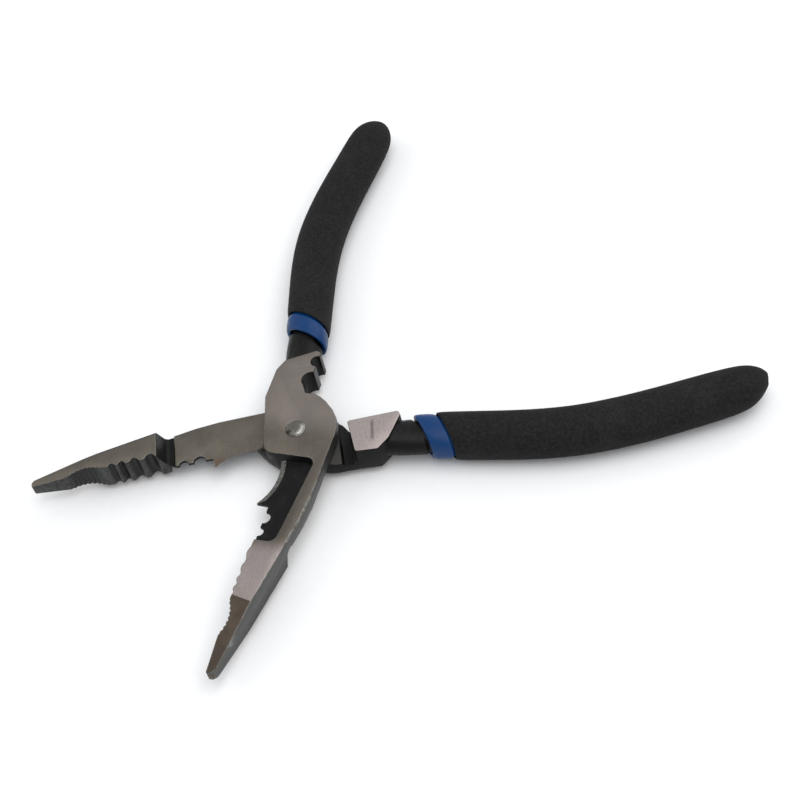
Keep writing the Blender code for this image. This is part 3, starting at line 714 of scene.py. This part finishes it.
# %% Levers
WAIST_Y = 55.0
WAIST_Z = 3.9
WAIST_REACH = 0.05
WAIST_OUTER_X = -6.0
WAIST_SLANT = 1.2
RIDGE_BEVEL = 0.55
LOWER_BEVEL = 0.8
CORNER_BEVEL = 0.7
FOOT_BEVEL = 1.3
DISSOLVE_ANGLE = math.radians(1.5)


def slant_waist(piece, to_lever):
    """Turns the crease across the top of the nose, so that it meets the gripping face nearer the joint."""
    back = to_lever.inverted()
    for vertex in piece.data.vertices:
        point = to_lever @ vertex.co
        if abs(point.y - WAIST_Y) < WAIST_REACH and point.z > WAIST_Z:
            point.y -= WAIST_SLANT * (point.x - WAIST_OUTER_X) / -WAIST_OUTER_X
            vertex.co = back @ point


def make_lever(side, ground, browned):
    """One forging, from the merged copy to its finished faces."""
    piece = copy_of(f"{side}_lever", f"{side}_forging")
    bpy.ops.object.mode_set(mode="EDIT")
    bpy.ops.mesh.select_all(action="SELECT")
    bpy.ops.mesh.dissolve_limited(angle_limit=DISSOLVE_ANGLE)
    bpy.ops.object.mode_set(mode="OBJECT")
    to_lever = lever_frame(side)
    if side == "front":
        slant_waist(piece, to_lever)
    bevel_where(piece, to_lever, on_outer_ridge, RIDGE_BEVEL)
    bevel_where(piece, to_lever, on_lower_ridge, LOWER_BEVEL)
    if side == "rear":
        bevel_where(piece, to_lever, on_anvil_corner, CORNER_BEVEL, segments=3)
        bevel_where(piece, to_lever, on_tab_foot, FOOT_BEVEL, segments=3)
    break_edges(piece)
    finishes = {
        "ground": ground,
        "browned": browned,
        "side": side_steel(side),
        "toothed": toothed_steel(side),
        "wear_and_highlight": wear_and_highlight,
        "black": painted,
    }
    dress_lever(piece, side, finishes)
    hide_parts(f"{side}_lever")
    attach(piece, f"{side}_half")
    print(f"{piece.name}: {len(piece.data.polygons)} faces")


wear_and_highlight = wear_and_highlight_steel()
painted = black_paint()
front_ground = front_ground_steel()
rear_ground = rear_ground_steel()
make_lever("front", front_ground, browned_steel())
make_lever("rear", rear_ground, rear_ground)

# %% [markdown]
# ## Rivet
#
# The rivet was driven hot and its head was left slightly domed. It is turned up from a flat disc here:
# each step extrudes the disc's face and scales it, which is how a ring-by-ring dome is built by hand. A
# flattened ball would be quicker, but it has no rim and no countersinks.

# %% Rivet
RIVET_SIDES = 64
HEAD_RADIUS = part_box("pivot_rivet")[1].x + 0.1 * MM
SHANK_RADIUS = 1.9 * MM
SINK = 1.3 * MM
DOME_RADIUS = 2.3 * MM
DOME_TOP_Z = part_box("pivot_rivet")[1].z
RIVET_FOOT_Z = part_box("pivot_rivet")[0].z
RIM_BREAK = 0.04 * MM
DOME_LIFTS = (12, 25, 40, 55, 70, 82)
# A painted highlight on one side of the dome, and a painted shadow at its rim opposite.
HIGHLIGHT_SIDE = (0.7, 1.9)
RIVET_SHADOW = (0.4, 2.2, 4.3)
RIVET_SHADOW_REACH = 0.8


def rivet_steel():
    """Dull where it was ground flush, with a painted highlight on one side of the dome and a painted shadow
    at the rim opposite.
    """
    finish = Finish("rivet_steel")
    spot = finish.place()
    dents = finish.noise(spot, 1.1, detail=3.0)
    scuffs = finish.noise(spot, 0.35, detail=3.0)
    across = finish.part_of(spot, "X") * -0.8 + finish.part_of(spot, "Y") * -0.4
    base = finish.mix(dents, colour(104, 101, 94), colour(134, 132, 124))
    # Painted highlight: one side of the dome is coloured bright.
    base = finish.mix(finish.span(across, HIGHLIGHT_SIDE) * 0.8, base, colour(186, 186, 180))
    base = finish.mix(finish.ease(scuffs, 0.45, 0.7) * 0.5, base, DARK_STEEL)
    # Painted shadow: a dark spot at the dome's rim.
    base = finish.mix(finish.near(spot, RIVET_SHADOW, RIVET_SHADOW_REACH) * 0.85, base, colour(44, 34, 32))
    rough = finish.ease(dents, 0.3, 0.7) * 0.2 + 0.22
    return finish.surface({"Base Color": base, "Metallic": 0.9, "Roughness": rough}, [(dents, 0.09)])


def rivet_profile():
    """Heights and radii from the foot to the crown: two countersinks, a flush rim and the dome."""
    steps = [
        (RIVET_FOOT_Z, HEAD_RADIUS),
        (RIVET_FOOT_Z + SINK, SHANK_RADIUS),
        (PLATE_TOP_Z - SINK, SHANK_RADIUS),
        (PLATE_TOP_Z - RIM_BREAK, HEAD_RADIUS),
        (PLATE_TOP_Z, HEAD_RADIUS - RIM_BREAK),
        (PLATE_TOP_Z, DOME_RADIUS),
    ]
    for lift in DOME_LIFTS:
        angle = math.radians(lift)
        rise = (DOME_TOP_Z - PLATE_TOP_Z) * math.sin(angle)
        steps.append((PLATE_TOP_Z + rise, DOME_RADIUS * math.cos(angle)))
    return steps


def make_rivet():
    """The rivet, turned up ring by ring."""
    steps = rivet_profile()
    bpy.ops.object.select_all(action="DESELECT")
    bpy.ops.mesh.primitive_circle_add(vertices=RIVET_SIDES, radius=HEAD_RADIUS, fill_type="NGON")
    piece = bpy.context.object
    piece.name = piece.data.name = "rivet_head"
    bpy.ops.object.mode_set(mode="EDIT")
    bpy.ops.mesh.select_all(action="SELECT")
    bpy.ops.transform.translate(value=(0, 0, RIVET_FOOT_Z))
    for (height, radius), (next_height, next_radius) in zip(steps, steps[1:]):
        rise = (0, 0, next_height - height)
        shrink = next_radius / radius
        bpy.ops.mesh.extrude_region_move(TRANSFORM_OT_translate={"value": rise})
        bpy.ops.transform.resize(value=(shrink, shrink, 1), center_override=(0, 0, 0))
    bpy.ops.mesh.select_all(action="SELECT")
    bpy.ops.mesh.normals_make_consistent(inside=False)
    bpy.ops.object.mode_set(mode="OBJECT")
    bpy.ops.object.shade_smooth_by_angle(angle=SHARP_ANGLE)
    piece.data.materials.append(rivet_steel())
    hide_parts("pivot_rivet")
    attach(piece, "rear_half")
    print(f"rivet: {len(piece.data.polygons)} faces")


make_rivet()

# %% [markdown]
# ## Grips
#
# Each tang is dipped twice. The first dip is smooth blue vinyl, and the second is a foaming black vinyl
# that swells into a soft, finely pitted skin. Vinyl is glossy and even, and foam is dull, with pits from
# cells, coloured darker as painted shade, and slower lumps. The pits could be cut into the mesh, but they
# are smaller than a grain of salt, so a bump is enough.

# %% Vinyl and foam
def blue_vinyl():
    """Smooth vinyl that dips and drifts a little, as a dip coat does."""
    finish = Finish("blue_vinyl")
    spot = finish.place()
    drift = finish.noise(spot, 6.0, detail=2.0)
    specks = finish.noise(spot, 0.5, detail=2.0)
    base = finish.mix(drift, colour(3, 46, 92), colour(6, 58, 110))
    rough = specks * 0.15 + 0.3
    settings = {"Base Color": base, "Specular IOR Level": 0.25, "Roughness": rough}
    return finish.surface(settings, [(drift, 0.2), (specks, 0.004)])


def black_foam():
    """Closed-cell skin: small pits in painted shade, coarser lumps, and a little dust on the lumps."""
    finish = Finish("black_foam")
    spot = finish.place()
    cells = finish.node("ShaderNodeTexVoronoi", {"feature": "F1"}, {"Vector": spot, "Scale": 1 / (0.7 * MM)})
    pits = finish.ease(cells, 0.05, 0.5)
    grain = finish.noise(spot, 0.35, detail=3.0)
    lumps = finish.noise(spot, 0.9, detail=4.0, roughness=0.65)
    drift = finish.noise(spot, 12.0, detail=2.0)
    base = finish.mix(finish.ease(lumps, 0.35, 0.7), colour(19, 18, 18), colour(34, 33, 33))
    base = finish.mix(finish.ease(drift, 0.45, 0.7) * 0.3, base, colour(44, 43, 42))
    # Painted shade: the pits of the cells are coloured darker.
    base = finish.mix(pits, colour(15, 14, 14), base)
    settings = {"Base Color": base, "Specular IOR Level": 0.2, "Roughness": grain * 0.2 + 0.72}
    return finish.surface(settings, [(drift, 0.25), (lumps, 0.1), (pits * 0.6 + grain, 0.07)])


# %% [markdown]
# ## Collars and foam grips
#
# The blue shows only as a collar ahead of the foam, so each handle has two socks, one over the other.
# Both are merged copies of the frame's socks. Their triangles become quads that run along the handle, so
# Subdivision Surface rounds them well. The rear cap was cut on a slant, and the front one nearly square,
# which is a pull on the few rings at the end, done before the rounding.

# %% Grips
QUAD_ANGLE = math.radians(60)
ROUNDING_LEVELS = 2

# Where the caps lie, in millimetres in a lever's own frame.
CAP_START_Y = -112.0
CAP_LENGTH = 17.0
GRIP_INNER_X = 8.0
GRIP_WIDTH = 14.0
CAP_PULL = {"front": (1.0, 0.2), "rear": (3.4, 2.2)}


def slant_cap(piece, side):
    """Pulls the outer side of a grip's end in, so that the cap is cut on a slant."""
    to_lever = lever_frame(side)
    back = to_lever.inverted()
    for vertex in piece.data.vertices:
        point = to_lever @ vertex.co
        reach = min(max((CAP_START_Y - point.y) / CAP_LENGTH, 0), 1)
        share = min(max((point.x - GRIP_INNER_X) / GRIP_WIDTH, 0), 1)
        point.x -= CAP_PULL[side][0] * share * reach ** 2
        point.y += CAP_PULL[side][1] * share * reach ** 2
        vertex.co = back @ point


def make_sock(node, name, material, side):
    """A rounded copy of one dipped layer."""
    piece = copy_of(node, name)
    bpy.ops.object.mode_set(mode="EDIT")
    bpy.ops.mesh.select_all(action="SELECT")
    bpy.ops.mesh.tris_convert_to_quads(face_threshold=QUAD_ANGLE, shape_threshold=QUAD_ANGLE)
    bpy.ops.object.mode_set(mode="OBJECT")
    slant_cap(piece, side)
    rounding = piece.modifiers.new("rounding", "SUBSURF")
    rounding.levels = rounding.render_levels = ROUNDING_LEVELS
    bpy.ops.object.modifier_apply(modifier="rounding")
    bpy.ops.object.shade_smooth()
    piece.data.materials.append(material)
    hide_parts(node)
    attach(piece, f"{side}_half")
    print(f"{piece.name}: {len(piece.data.polygons)} faces")


vinyl = blue_vinyl()
foam = black_foam()
for side in ("front", "rear"):
    make_sock(f"{side}_sleeve", f"{side}_collar", vinyl, side)
    make_sock(f"{side}_grip", f"{side}_foam", foam, side)

# %% [markdown]
# ## Sizes
#
# The finish must not change the tool's size. This cell only prints a closing line.

# %% Sizes
print("finishes done")
